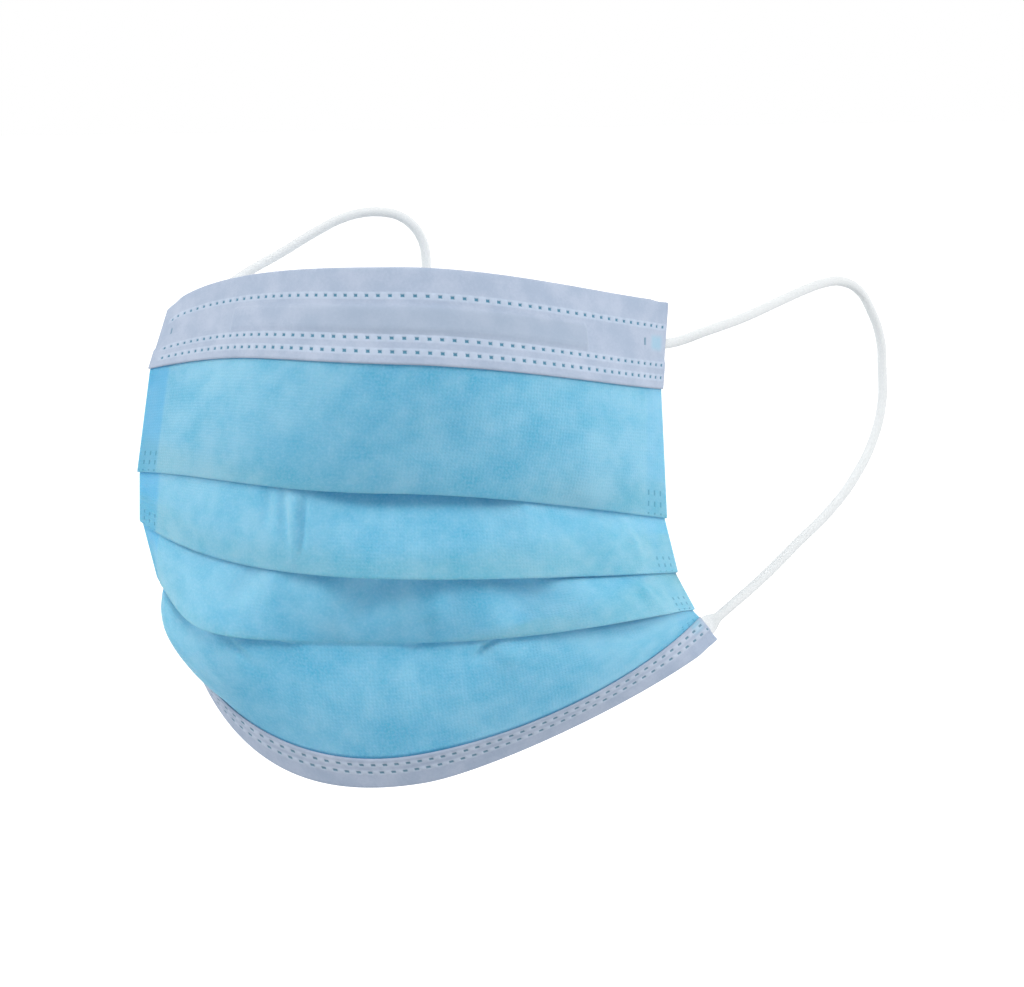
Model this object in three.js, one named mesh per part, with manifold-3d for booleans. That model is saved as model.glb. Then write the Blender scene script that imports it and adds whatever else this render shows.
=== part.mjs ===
// A pleated face mask held in the form it has when worn: a blue nonwoven panel with three pleats that open towards
// the middle, white strips folded over its top and bottom edges, a flat wire in the top strip and two ear loops.
// Millimetres, +Z up, the wearer's face towards +Y. The origin is the middle of the top edge, on the nose bridge.

import * as THREE from "three";
import { mergeVertices } from "three/addons/utils/BufferGeometryUtils.js";
import Module from "manifold-3d";

const wasm = await Module();
wasm.setup();

const HALF_WIDTH = 87.5;
const CLOTH = 1.0;
const STATIONS = 28;

const TOP_STRIP = 26;
const TOP_STRIP_BACK = 20;
const BOTTOM_STRIP = 9;
const BOTTOM_STRIP_BACK = 7;
const STRIP_WALL = 1.0;
const STRIP_SPACE = 0.95;
const PANEL_START = 19;
const PANEL_INTO_BOTTOM = 4.4;

const WIRE_LENGTH = 96;
const WIRE_WIDTH = 4.5;
const WIRE_THICKNESS = 1.0;
const WIRE_FROM_TOP = 12;
const WIRE_STATIONS = 16;

const LOOP_DIAMETER = 2.8;
const LOOP_SIDES = 8;
const LOOP_STEPS = 56;

// The crosswise lines of the cloth, from the top edge down. x, y and z are the line's middle point, turn the way it
// heads there, in degrees towards the face, and rise its climb for each millimetre towards the right.
const MIDDLE = [
  { line: "top", x: 0, y: 0, z: 0, turn: 0, rise: 0 },
  { line: "band", x: 2.5, y: -11.5, z: -23, turn: 0, rise: -0.03 },
  { line: "fold1", x: -4, y: -3, z: -55.5, turn: 0, rise: -0.01 },
  { line: "fold2", x: -4, y: -4, z: -76.5, turn: 0, rise: -0.02 },
  { line: "fold3", x: -3, y: 6.5, z: -94.5, turn: 0, rise: 0 },
  { line: "seam", x: -0.5, y: 10, z: -124, turn: 0, rise: 0.17 },
  { line: "bottom", x: 2, y: 12.5, z: -132, turn: 0, rise: 0.18 },
];

// Where the same lines end at the side edges, the turn in degrees towards the face there, and the climb outwards.
const RIGHT_EDGE = [
  { line: "top", x: 61.5, y: 56, z: -13, turn: 60, rise: -0.12 },
  { line: "band", x: 60.5, y: 45.5, z: -35, turn: 72, rise: -0.12 },
  { line: "fold1", x: 61.5, y: 48, z: -69, turn: 54, rise: -0.2 },
  { line: "fold2", x: 64.5, y: 44.5, z: -82.5, turn: 62, rise: -0.12 },
  { line: "fold3", x: 69, y: 43, z: -92, turn: 66, rise: -0.1 },
  { line: "seam", x: 70, y: 43, z: -94, turn: 63, rise: 0.4 },
  { line: "bottom", x: 75, y: 44, z: -100.5, turn: 60, rise: 0.39 },
];
const LEFT_EDGE = [
  { line: "top", x: -69.5, y: 48.5, z: -13.5, turn: 36, rise: -0.66 },
  { line: "band", x: -70.5, y: 31, z: -28, turn: 36, rise: -0.18 },
  { line: "fold1", x: -77.5, y: 40.5, z: -56, turn: 39, rise: -0.07 },
  { line: "fold2", x: -77, y: 39.5, z: -69, turn: 45, rise: 0.3 },
  { line: "fold3", x: -71.5, y: 35, z: -83.5, turn: 66, rise: 0.15 },
  { line: "seam", x: -67, y: 33.5, z: -89, turn: 68, rise: 0.78 },
  { line: "bottom", x: -64, y: 34.5, z: -97.5, turn: 63, rise: 0.72 },
];

// The pleats: the height of the cloth tucked up behind each fold and of the cloth that shows below it, how far in the
// hidden crease lies, and how much further it does where the pleat gapes.
const PLEATS = [
  { above: "fold1", below: "fold2", tucked: 10, shown: 25, depth: 2.2, gape: 5.6 },
  { above: "fold2", below: "fold3", tucked: 11, shown: 22, depth: 2.2, gape: 0.6 },
  { above: "fold3", below: "seam", tucked: 14, shown: 16, depth: 1.6, gape: 0 },
];
const GAPE = { from: -40, fullFrom: 0, fullTo: 28, to: 48 };
const EDGE_DEPTH = 1.5;
const BELOW_FOLD = 1;
const FLAT_AT_EDGE = 27;
const JOIN = 0.4;
const FINEST = 0.02;

// The ear loops' middle lines, each from the weld inside its top corner to the weld inside its bottom corner.
const RIGHT_LOOP_ROUTE = [
  [53.8, 44.9, -22],
  [55.6, 48.1, -23],
  [57.3, 51.4, -23.9],
  [59.6, 55.6, -24.3],
  [63.5, 60, -24],
  [70, 64.5, -22],
  [80, 74, -19],
  [89, 84, -15.5],
  [95.5, 91, -13],
  [101, 97, -11.5],
  [105, 101, -11.5],
  [109.5, 104.5, -14],
  [113, 107, -20],
  [115.5, 109, -28],
  [116, 109, -36],
  [116, 107, -45],
  [114, 102.5, -54],
  [109, 94, -64],
  [103, 86, -71.5],
  [94, 75, -79.5],
  [85.5, 65, -87],
  [77.5, 55, -93],
  [72, 49, -97],
  [68.9, 44.5, -98.5],
  [66.9, 41.8, -99.5],
  [64.6, 39.1, -100.6],
];
const LEFT_LOOP_ROUTE = [
  [-60.5, 37.2, -18.5],
  [-63.4, 39.4, -19.9],
  [-66.2, 41.3, -21.5],
  [-70, 45.5, -21.8],
  [-71, 51, -20],
  [-69, 56, -17],
  [-64, 62, -12.5],
  [-58, 66, -9],
  [-52, 70, -5],
  [-45, 74, -1],
  [-35, 78, 5],
  [-29, 80, 8],
  [-23, 82, 9.5],
  [-18, 83, 9.5],
  [-14, 84, 8.5],
  [-10.5, 85, 6],
  [-8, 86, 2],
  [-7, 86, -2.5],
  [-7, 85, -8],
  [-10, 83, -20],
  [-16, 79, -33],
  [-25, 73, -46],
  [-35, 66, -59],
  [-45, 58, -71],
  [-52.5, 51, -80],
  [-58, 45.5, -85.5],
  [-61.5, 39, -89.5],
  [-61.8, 33.5, -92.4],
  [-60.4, 30.7, -94.8],
  [-58.9, 28.1, -97.2],
];

function heading(side, turn, rise) {
  const angle = THREE.MathUtils.degToRad(turn);
  return new THREE.Vector3(side * Math.cos(angle), Math.sin(angle), rise);
}

// One half of a crosswise line: the curve from the middle to a side edge that is just HALF_WIDTH long.
function halfLine(middle, edge, side) {
  const start = new THREE.Vector3(middle.x, middle.y, middle.z);
  const end = new THREE.Vector3(edge.x, edge.y, edge.z);
  const out = heading(side, middle.turn * side, middle.rise * side);
  const back = heading(side, edge.turn, edge.rise);
  let shortest = 1;
  let longest = 120;
  let curve = null;
  for (let step = 0; step < 30; step += 1) {
    const handle = (shortest + longest) / 2;
    curve = new THREE.CubicBezierCurve3(
      start,
      start.clone().addScaledVector(out, handle),
      end.clone().addScaledVector(back, -handle),
      end,
    );
    if (curve.getLength() < HALF_WIDTH) {
      shortest = handle;
    } else {
      longest = handle;
    }
  }
  return curve;
}

const LINES = Object.fromEntries(MIDDLE.map((middle, i) => [middle.line, {
  right: halfLine(middle, RIGHT_EDGE[i], 1),
  left: halfLine(middle, LEFT_EDGE[i], -1),
}]));

// The point of a crosswise line that lies s millimetres to the right of the middle, along the cloth.
function pointOn(line, s) {
  const half = s < 0 ? LINES[line].left : LINES[line].right;
  return half.getPointAt(Math.min(1, Math.abs(s) / HALF_WIDTH));
}

// The frame of the cloth between two lines, s millimetres from the middle: down from one line to the other, and
// inwards to the face.
function frameAt(s, from, to) {
  const start = pointOn(from, s);
  const down = pointOn(to, s).sub(start);
  const height = down.length();
  down.normalize();
  const along = pointOn(from, s + 1).sub(pointOn(from, s - 1));
  const inward = along.cross(down).normalize();
  return { start, down, inward, height };
}

function placed(frame, down, inward) {
  return frame.start.clone().addScaledVector(frame.down, down).addScaledVector(frame.inward, inward);
}

function stations(halfLength, count) {
  return Array.from({ length: count + 1 }, (_, i) => halfLength * (2 * i / count - 1));
}

// The place so far up the cloth from a line, on the stretches between the lines above it.
function upFrom(s, line, rise) {
  let index = MIDDLE.findIndex((middle) => middle.line === line);
  let frame = frameAt(s, MIDDLE[index - 1].line, MIDDLE[index].line);
  let left = rise;
  while (left > frame.height) {
    left -= frame.height;
    index -= 1;
    frame = frameAt(s, MIDDLE[index - 1].line, MIDDLE[index].line);
  }
  return { frame, down: frame.height - left };
}

// The hidden crease behind a fold. The tucked and the shown cloth keep their length together, so the further in the
// crease lies, the lower it is, but not more than BELOW_FOLD under its fold. At the side edges the layers lie flat.
function hiddenCrease(s, pleat) {
  const frame = frameAt(s, pleat.above, pleat.below);
  const whole = pleat.tucked + pleat.shown;
  const gap = Math.min(frame.height, whole - 0.2);
  const deepest = Math.sqrt(whole ** 2 - gap ** 2) / 2;
  const gaping = THREE.MathUtils.smoothstep(s, GAPE.from, GAPE.fullFrom)
    * (1 - THREE.MathUtils.smoothstep(s, GAPE.fullTo, GAPE.to));
  const open = THREE.MathUtils.smoothstep(HALF_WIDTH - Math.abs(s), 0, FLAT_AT_EDGE);
  const wanted = EDGE_DEPTH + (pleat.depth + pleat.gape * gaping - EDGE_DEPTH) * open;
  const depth = Math.min(wanted, deepest * Math.sqrt(1 - ((gap - 2 * BELOW_FOLD) / whole) ** 2));
  const rise = (whole * Math.sqrt(1 - (depth / deepest) ** 2) - gap) / 2;
  if (rise < 0) {
    return placed(frame, -rise, depth);
  }
  const above = upFrom(s, pleat.above, rise);
  return placed(above.frame, above.down, depth);
}

// A closed solid through a ring of points for each station, with flat ends.
function loft(rings) {
  const size = rings[0].length;
  const vertices = rings.flat().flatMap((point) => [point.x, point.y, point.z]);
  const faces = [];
  for (let i = 0; i + 1 < rings.length; i += 1) {
    for (let k = 0; k < size; k += 1) {
      const a = i * size + k;
      const b = i * size + (k + 1) % size;
      faces.push(a, b, b + size, a, b + size, a + size);
    }
  }
  faces.push(...endCap(rings[0], 0, false));
  faces.push(...endCap(rings.at(-1), (rings.length - 1) * size, true));
  const geometry = new THREE.BufferGeometry();
  geometry.setAttribute("position", new THREE.Float32BufferAttribute(vertices, 3));
  geometry.setIndex(faces);
  return geometry;
}

function endCap(ring, offset, facesForward) {
  const arms = ring.map((point) => point.clone().sub(ring[0]));
  const across = arms[1].clone().normalize();
  const normal = new THREE.Vector3();
  for (let k = 1; k + 1 < ring.length; k += 1) {
    normal.add(arms[k].clone().cross(arms[k + 1]));
  }
  const sideways = normal.normalize().cross(across);
  const outline = arms.map((arm) => new THREE.Vector2(arm.dot(across), arm.dot(sideways)));
  return THREE.ShapeUtils.triangulateShape(outline, []).flatMap(([a, b, c]) => {
    const turnsLeft = outline[b].clone().sub(outline[a]).cross(outline[c].clone().sub(outline[a])) > 0;
    const face = turnsLeft === facesForward ? [a, b, c] : [a, c, b];
    return face.map((corner) => corner + offset);
  });
}

// A strip of cloth between two rows of points, lengthened a little at both so that neighbours join.
function clothStrip(upperRow, lowerRow) {
  return loft(upperRow.map((upper, i) => {
    const before = upperRow[Math.max(0, i - 1)];
    const after = upperRow[Math.min(STATIONS, i + 1)];
    const down = lowerRow[i].clone().sub(upper).normalize();
    const inward = after.clone().sub(before).cross(down).normalize();
    const frame = { start: upper, down, inward };
    const length = lowerRow[i].distanceTo(upper);
    return [
      placed(frame, -JOIN, -CLOTH / 2),
      placed(frame, length + JOIN, -CLOTH / 2),
      placed(frame, length + JOIN, CLOTH / 2),
      placed(frame, -JOIN, CLOTH / 2),
    ];
  }));
}

function toSolid(geometry) {
  const merged = mergeVertices(geometry);
  return new wasm.Manifold(new wasm.Mesh({
    numProp: 3,
    vertProperties: new Float32Array(merged.attributes.position.array),
    triVerts: new Uint32Array(merged.index.array),
  }));
}

function toGeometry(solid) {
  const mesh = solid.getMesh();
  const geometry = new THREE.BufferGeometry();
  geometry.setAttribute("position", new THREE.Float32BufferAttribute(mesh.vertProperties, 3));
  geometry.setIndex([...mesh.triVerts]);
  return geometry;
}

// The pleated panel: a strip of cloth between every two creases, joined along the creases and at the side edges.
function maskPanel() {
  const across = stations(HALF_WIDTH, STATIONS);
  const rows = [
    across.map((s) => placed(frameAt(s, "top", "band"), PANEL_START, 0)),
    across.map((s) => pointOn("band", s)),
    across.map((s) => pointOn("fold1", s)),
    across.map((s) => hiddenCrease(s, PLEATS[0])),
    across.map((s) => pointOn("fold2", s)),
    across.map((s) => hiddenCrease(s, PLEATS[1])),
    across.map((s) => pointOn("fold3", s)),
    across.map((s) => hiddenCrease(s, PLEATS[2])),
    across.map((s) => pointOn("seam", s)),
    across.map((s) => placed(frameAt(s, "seam", "bottom"), PANEL_INTO_BOTTOM, 0)),
  ];
  const strips = rows.slice(1).map((row, i) => toSolid(clothStrip(rows[i], row)));
  return toGeometry(wasm.Manifold.union(strips).asOriginal().simplify(FINEST));
}

// A strip folded over an edge of the panel: a leg on each side, as shares of the height between the two lines, and
// a rounded fold along the edge. The first leg lies on the side away from the frame's inward direction.
function foldedStrip(edge, other, firstLeg, secondLeg) {
  const outer = STRIP_SPACE + STRIP_WALL;
  return loft(stations(HALF_WIDTH, STATIONS).map((s) => {
    const frame = frameAt(s, edge, other);
    const first = frame.height * firstLeg;
    const second = frame.height * secondLeg;
    return [
      placed(frame, outer / 2, -outer * 0.8),
      placed(frame, outer, -outer),
      placed(frame, first, -outer),
      placed(frame, first, -STRIP_SPACE),
      placed(frame, STRIP_WALL + STRIP_SPACE, -STRIP_SPACE),
      placed(frame, STRIP_WALL, 0),
      placed(frame, STRIP_WALL + STRIP_SPACE, STRIP_SPACE),
      placed(frame, second, STRIP_SPACE),
      placed(frame, second, outer),
      placed(frame, outer, outer),
      placed(frame, outer / 2, outer * 0.8),
      placed(frame, 0, 0),
    ];
  }));
}

// The flat wire, in the channel between the top strip's fold and the panel's upper edge.
function noseWire() {
  return loft(stations(WIRE_LENGTH / 2, WIRE_STATIONS).map((s) => {
    const frame = frameAt(s, "top", "band");
    const lower = WIRE_FROM_TOP + WIRE_WIDTH;
    return [
      placed(frame, WIRE_FROM_TOP, -WIRE_THICKNESS / 2),
      placed(frame, lower, -WIRE_THICKNESS / 2),
      placed(frame, lower, WIRE_THICKNESS / 2),
      placed(frame, WIRE_FROM_TOP, WIRE_THICKNESS / 2),
    ];
  }));
}

function earLoop(route) {
  const path = new THREE.CatmullRomCurve3(route.map((point) => new THREE.Vector3(...point)));
  const section = new THREE.Shape();
  section.absarc(0, 0, LOOP_DIAMETER / 2, 0, Math.PI * 2);
  const corners = section.getSpacedPoints(LOOP_SIDES).slice(0, LOOP_SIDES);
  return new THREE.ExtrudeGeometry(new THREE.Shape(corners), {
    steps: LOOP_STEPS,
    extrudePath: path,
    bevelEnabled: false,
  });
}

function part(name, geometry, material) {
  const mesh = new THREE.Mesh(geometry, material);
  mesh.name = name;
  return mesh;
}

const blueNonwoven = new THREE.MeshStandardMaterial({ color: 0x7fbfdf, roughness: 0.9, metalness: 0 });
const whiteNonwoven = new THREE.MeshStandardMaterial({ color: 0xc4cfdf, roughness: 0.9, metalness: 0 });
const wireMetal = new THREE.MeshStandardMaterial({ color: 0xb9bec4, roughness: 0.45, metalness: 1 });
const whiteElastic = new THREE.MeshStandardMaterial({ color: 0xeef0f3, roughness: 0.85, metalness: 0 });

const mask = new THREE.Group();
mask.add(part("mask_panel", maskPanel(), blueNonwoven));
mask.add(part("top_binding", foldedStrip("top", "band", 1, TOP_STRIP_BACK / TOP_STRIP), whiteNonwoven));
mask.add(part("nose_wire", noseWire(), wireMetal));
mask.add(part("bottom_binding", foldedStrip("bottom", "seam", BOTTOM_STRIP_BACK / BOTTOM_STRIP, 1), whiteNonwoven));
mask.add(part("ear_loop_right", earLoop(RIGHT_LOOP_ROUTE), whiteElastic));
mask.add(part("ear_loop_left", earLoop(LEFT_LOOP_ROUTE), whiteElastic));

export default mask;
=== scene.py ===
import bisect
import math

import bmesh
import bpy
from mathutils import Matrix, Vector
from mathutils.geometry import interpolate_bezier


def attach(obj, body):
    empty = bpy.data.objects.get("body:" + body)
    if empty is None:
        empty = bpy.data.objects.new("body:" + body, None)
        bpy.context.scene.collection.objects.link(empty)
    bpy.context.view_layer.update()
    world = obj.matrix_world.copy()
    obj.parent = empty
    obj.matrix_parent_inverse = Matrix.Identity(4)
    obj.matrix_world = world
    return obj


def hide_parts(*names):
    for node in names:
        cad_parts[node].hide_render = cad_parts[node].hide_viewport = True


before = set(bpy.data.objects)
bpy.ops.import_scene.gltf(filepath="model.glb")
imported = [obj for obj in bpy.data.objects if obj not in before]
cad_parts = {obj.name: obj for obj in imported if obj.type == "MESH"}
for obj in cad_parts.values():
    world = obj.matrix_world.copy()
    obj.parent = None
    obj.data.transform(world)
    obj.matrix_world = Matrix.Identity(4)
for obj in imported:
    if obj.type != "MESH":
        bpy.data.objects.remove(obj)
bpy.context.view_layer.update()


# The camera stands in front of the mask, a little to its right and above it, as far off as for a product
# photograph, and is tilted by a degree.
CAMERA_AZIMUTH = math.radians(8)
CAMERA_ELEVATION = math.radians(8)
CAMERA_ROLL = math.radians(-1)
CAMERA_DISTANCE = 0.7435
CAMERA_AIM = Vector((0.0243, 0.0239, -0.0591))
CAMERA_LENS = 103.4

camera = bpy.data.objects.new("camera", bpy.data.cameras.new("camera"))
camera.data.lens = CAMERA_LENS
camera.data.sensor_width = 36
camera.data.clip_start = 0.01
away = Vector((
    math.sin(CAMERA_AZIMUTH) * math.cos(CAMERA_ELEVATION),
    -math.cos(CAMERA_AZIMUTH) * math.cos(CAMERA_ELEVATION),
    math.sin(CAMERA_ELEVATION),
))
level = Vector((math.cos(CAMERA_AZIMUTH), math.sin(CAMERA_AZIMUTH), 0))
upright = away.cross(level)
right = level * math.cos(CAMERA_ROLL) + upright * math.sin(CAMERA_ROLL)
facing = Matrix((right, away.cross(right), away)).transposed().to_4x4()
camera.matrix_world = Matrix.Translation(CAMERA_AIM + away * CAMERA_DISTANCE) @ facing
bpy.context.scene.collection.objects.link(camera)
bpy.context.scene.camera = camera
bpy.context.scene.view_settings.view_transform = "Standard"


# The ear loops are round elastic cords, knitted from white yarn. Each end is pressed flat and welded to the
# inner side of a corner of the mask.
LOOP_DIAMETER = 0.0027
PRESSED_WIDTH = 0.0052
PRESSED_THICKNESS = 0.0011
PRESSED_FADE = 0.004
PRESSED_SMOOTHING = 0.7
LOOP_RINGS_PER_METRE = 1400
LOOP_SIDES = 20
STITCH_LENGTH = 0.0011
STITCH_DEPTH = 0.00009
STITCHES_ROUND = 3
LOOP_SHADE = (0.73, 0.76, 0.77, 1)
LOOP_WHITE = (0.86, 0.875, 0.88, 1)

right_loop_route = [
    (0.0538, 0.0449, -0.022),
    (0.0556, 0.0481, -0.023),
    (0.0573, 0.0514, -0.0239),
    (0.0596, 0.0556, -0.0243),
    (0.0635, 0.06, -0.024),
    (0.07, 0.0645, -0.022),
    (0.08, 0.074, -0.019),
    (0.089, 0.084, -0.0155),
    (0.0955, 0.091, -0.013),
    (0.101, 0.097, -0.0115),
    (0.105, 0.101, -0.0115),
    (0.1095, 0.1045, -0.014),
    (0.113, 0.107, -0.02),
    (0.1155, 0.109, -0.028),
    (0.116, 0.109, -0.036),
    (0.116, 0.107, -0.045),
    (0.114, 0.1025, -0.054),
    (0.109, 0.094, -0.064),
    (0.103, 0.086, -0.0715),
    (0.094, 0.075, -0.0795),
    (0.0855, 0.065, -0.087),
    (0.0775, 0.055, -0.093),
    (0.072, 0.049, -0.097),
    (0.0689, 0.0445, -0.0985),
    (0.0669, 0.0418, -0.0995),
    (0.0646, 0.0391, -0.1006),
]
left_loop_route = [
    (-0.0605, 0.0372, -0.0185),
    (-0.0634, 0.0394, -0.0199),
    (-0.0662, 0.0413, -0.0215),
    (-0.07, 0.0455, -0.0218),
    (-0.071, 0.051, -0.02),
    (-0.069, 0.056, -0.017),
    (-0.064, 0.062, -0.0125),
    (-0.058, 0.066, -0.009),
    (-0.052, 0.07, -0.005),
    (-0.045, 0.074, -0.001),
    (-0.035, 0.078, 0.005),
    (-0.029, 0.08, 0.008),
    (-0.023, 0.082, 0.0095),
    (-0.018, 0.083, 0.0095),
    (-0.014, 0.084, 0.0085),
    (-0.0105, 0.085, 0.006),
    (-0.008, 0.086, 0.002),
    (-0.007, 0.086, -0.0025),
    (-0.007, 0.085, -0.008),
    (-0.01, 0.083, -0.02),
    (-0.016, 0.079, -0.033),
    (-0.025, 0.073, -0.046),
    (-0.035, 0.066, -0.059),
    (-0.045, 0.058, -0.071),
    (-0.0525, 0.051, -0.08),
    (-0.058, 0.0455, -0.0855),
    (-0.0615, 0.039, -0.0895),
    (-0.0618, 0.0335, -0.0924),
    (-0.0604, 0.0307, -0.0948),
    (-0.0589, 0.0281, -0.0972),
]


class Value:
    """A socket of a finish, whose sums add the finish's Math nodes."""

    def __init__(self, finish, socket):
        self.finish = finish
        self.socket = socket

    def __add__(self, other):
        return self.finish.sum("ADD", self, other)

    def __sub__(self, other):
        return self.finish.sum("SUBTRACT", self, other)

    def __rsub__(self, other):
        return self.finish.sum("SUBTRACT", other, self)

    def __mul__(self, other):
        return self.finish.sum("MULTIPLY", self, other)

    def __truediv__(self, other):
        return self.finish.sum("DIVIDE", self, other)


class Finish:
    """The material of a piece, in the making."""

    def __init__(self, name, roughness, sheen=0.0):
        self.material = bpy.data.materials.new(name)
        self.material.use_nodes = True
        self.nodes = self.material.node_tree.nodes
        self.links = self.material.node_tree.links
        self.shader = self.nodes["Principled BSDF"]
        self.shader.inputs["Roughness"].default_value = roughness
        self.shader.inputs["Sheen Weight"].default_value = sheen
        self.shader.inputs["Specular IOR Level"].default_value = 0.25

    def let_light_through(self, share, radius, scale):
        """Light spreads in the thin fibres and shines through them a little."""
        self.shader.inputs["Subsurface Weight"].default_value = share
        self.shader.inputs["Subsurface Radius"].default_value = radius
        self.shader.inputs["Subsurface Scale"].default_value = scale

    def node(self, kind, settings, sockets, output=0):
        made = self.nodes.new(kind)
        for name, value in settings.items():
            setattr(made, name, value)
        for name, value in sockets.items():
            self.feed(made.inputs[name], value)
        return Value(self, made.outputs[output])

    def feed(self, socket, value):
        if isinstance(value, Value):
            self.links.new(value.socket, socket)
        else:
            socket.default_value = value

    def sum(self, operation, first, second):
        return self.node("ShaderNodeMath", {"operation": operation}, {0: first, 1: second})

    def absolute(self, value):
        return self.sum("ABSOLUTE", value, 0.0)

    def between(self, value, low, high):
        """0 below low, 1 above high, and a soft step from one to the other."""
        sockets = {0: value, 1: low, 2: high, 3: 0.0, 4: 1.0}
        return self.node("ShaderNodeMapRange", {"interpolation_type": "SMOOTHSTEP"}, sockets)

    def mix(self, share, first, second):
        return self.node("ShaderNodeMix", {"data_type": "RGBA"}, {0: share, 6: first, 7: second}, 2)

    def noise(self, where, scale, detail, roughness=0.5):
        sockets = {"Vector": where, "Scale": scale, "Detail": detail, "Roughness": roughness}
        return self.node("ShaderNodeTexNoise", {}, sockets)

    def cloth_place(self):
        """The place on the flat cloth: across it, and down it, in metres."""
        return self.node("ShaderNodeUVMap", {"uv_map": "cloth"}, {})

    def axis(self, where, number):
        return self.node("ShaderNodeSeparateXYZ", {}, {0: where}, number)

    def stretched(self, where, scales):
        return self.node("ShaderNodeMapping", {}, {"Vector": where, "Scale": scales})

    def fibres(self, place):
        """The short fibres of nonwoven cloth, which lie more down it than across it."""
        return self.noise(self.stretched(place, (5200, 1500, 1)), 1.0, 4.0, 0.7)

    def bump(self, height, distance, strength):
        return self.node("ShaderNodeBump", {}, {"Height": height, "Distance": distance, "Strength": strength})


def add_piece(name, mesh, finishes):
    piece = bpy.data.objects.new(name, mesh)
    for finish in finishes:
        mesh.materials.append(finish.material)
    bpy.context.scene.collection.objects.link(piece)
    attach(piece, "root")
    return piece


def smooth_step(value, low, high):
    share = min(1, max(0, (value - low) / (high - low)))
    return share * share * (3 - 2 * share)


elastic = Finish("white_knitted_elastic", roughness=0.8, sheen=0.3)
place = elastic.cloth_place()
yarn = elastic.noise(elastic.stretched(place, (9000, 1500, 1)), 1.0, 3.0)
elastic.feed(elastic.shader.inputs["Base Color"], elastic.mix(
    elastic.between(yarn, 0.35, 0.7), LOOP_SHADE, LOOP_WHITE))
elastic.feed(elastic.shader.inputs["Normal"], elastic.bump(yarn, 0.00008, 0.6))


def ear_loop(name, route, node, start_wide, end_wide, start_pressed, end_pressed):
    """A knitted cord along the route: plaited stitches in relief, and both ends pressed flat at the welds.

    start_wide and end_wide say which way each pressed end is wide, and start_pressed and end_pressed how long
    it is."""
    line = bpy.data.curves.new(name + "_line", "CURVE")
    line.dimensions = "3D"
    line.resolution_u = 24
    spline = line.splines.new("BEZIER")
    spline.bezier_points.add(len(route) - 1)
    for knot, point in zip(spline.bezier_points, route):
        knot.co = point
        knot.handle_left_type = "AUTO"
        knot.handle_right_type = "AUTO"
    holder = bpy.data.objects.new(name + "_line", line)
    bpy.context.scene.collection.objects.link(holder)
    bpy.context.view_layer.update()
    middle = [v.co.copy() for v in bpy.data.meshes.new_from_object(holder).vertices]
    bpy.data.objects.remove(holder)
    far = [0.0]
    for before, after in zip(middle, middle[1:]):
        far.append(far[-1] + (after - before).length)
    rings = round(far[-1] * LOOP_RINGS_PER_METRE)

    side = Vector(start_wide)
    axes = []
    for ring in range(rings + 1):
        reach = far[-1] * ring / rings
        index = min(len(far) - 2, max(0, bisect.bisect_right(far, reach) - 1))
        share = (reach - far[index]) / (far[index + 1] - far[index])
        centre = middle[index].lerp(middle[index + 1], share)
        way = (middle[min(index + 2, len(middle) - 1)] - middle[max(index - 1, 0)]).normalized()
        side = (side - way * side.dot(way)).normalized()
        axes.append((reach, centre, side.copy(), way.cross(side)))
    wide = Vector(end_wide)
    turn_at_end = math.atan2(wide.dot(axes[-1][3]), wide.dot(axes[-1][2]))

    grid = bmesh.new()
    bmesh.ops.create_grid(grid, x_segments=LOOP_SIDES, y_segments=rings, size=1)
    cloth = grid.loops.layers.uv.new("cloth")
    for face in grid.faces:
        for loop in face.loops:
            x, y = loop.vert.co.x, loop.vert.co.y
            loop[cloth].uv = (x / 2 * LOOP_DIAMETER * math.pi, y / 2 * far[-1])
    for vertex in grid.verts:
        ring = round((vertex.co.y + 1) / 2 * rings)
        turn = (vertex.co.x + 1) * math.pi
        reach, centre, up, across = axes[ring]
        plait = math.sin(2 * math.pi * reach / STITCH_LENGTH + STITCHES_ROUND * turn)
        plait *= math.sin(2 * math.pi * reach / STITCH_LENGTH - STITCHES_ROUND * turn)
        relief = STITCH_DEPTH * (0.5 - 0.5 * plait)
        pressed = max(1 - smooth_step(reach, start_pressed, start_pressed + PRESSED_FADE),
                      1 - smooth_step(far[-1] - reach, end_pressed, end_pressed + PRESSED_FADE))
        width = LOOP_DIAMETER + (PRESSED_WIDTH - LOOP_DIAMETER) * pressed
        height = LOOP_DIAMETER + (PRESSED_THICKNESS - LOOP_DIAMETER) * pressed
        twist = turn_at_end * reach / far[-1]
        long_way = up * math.cos(twist) + across * math.sin(twist)
        short_way = across * math.cos(twist) - up * math.sin(twist)
        vertex.co = (centre + long_way * math.cos(turn) * (width / 2 - relief)
                     + short_way * math.sin(turn) * (height / 2 - relief * (1 - PRESSED_SMOOTHING * pressed)))
    bmesh.ops.remove_doubles(grid, verts=grid.verts, dist=1e-6)
    bmesh.ops.holes_fill(grid, edges=[edge for edge in grid.edges if edge.is_boundary], sides=0)
    bmesh.ops.recalc_face_normals(grid, faces=grid.faces)
    for face in grid.faces:
        face.smooth = len(face.verts) == 4
    mesh = bpy.data.meshes.new(name)
    grid.to_mesh(mesh)
    grid.free()
    piece = add_piece(name, mesh, [elastic])
    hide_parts(node)


ear_loop("elastic_loop_right", right_loop_route, "ear_loop_right",
         start_wide=(0, 0, 1), end_wide=(0.6, 0.12, -0.79), start_pressed=0.006, end_pressed=0.013)
ear_loop("elastic_loop_left", left_loop_route, "ear_loop_left",
         start_wide=(0, 0, 1), end_wide=(0.34, 0.12, -0.93), start_pressed=0.006, end_pressed=0.006)


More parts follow.
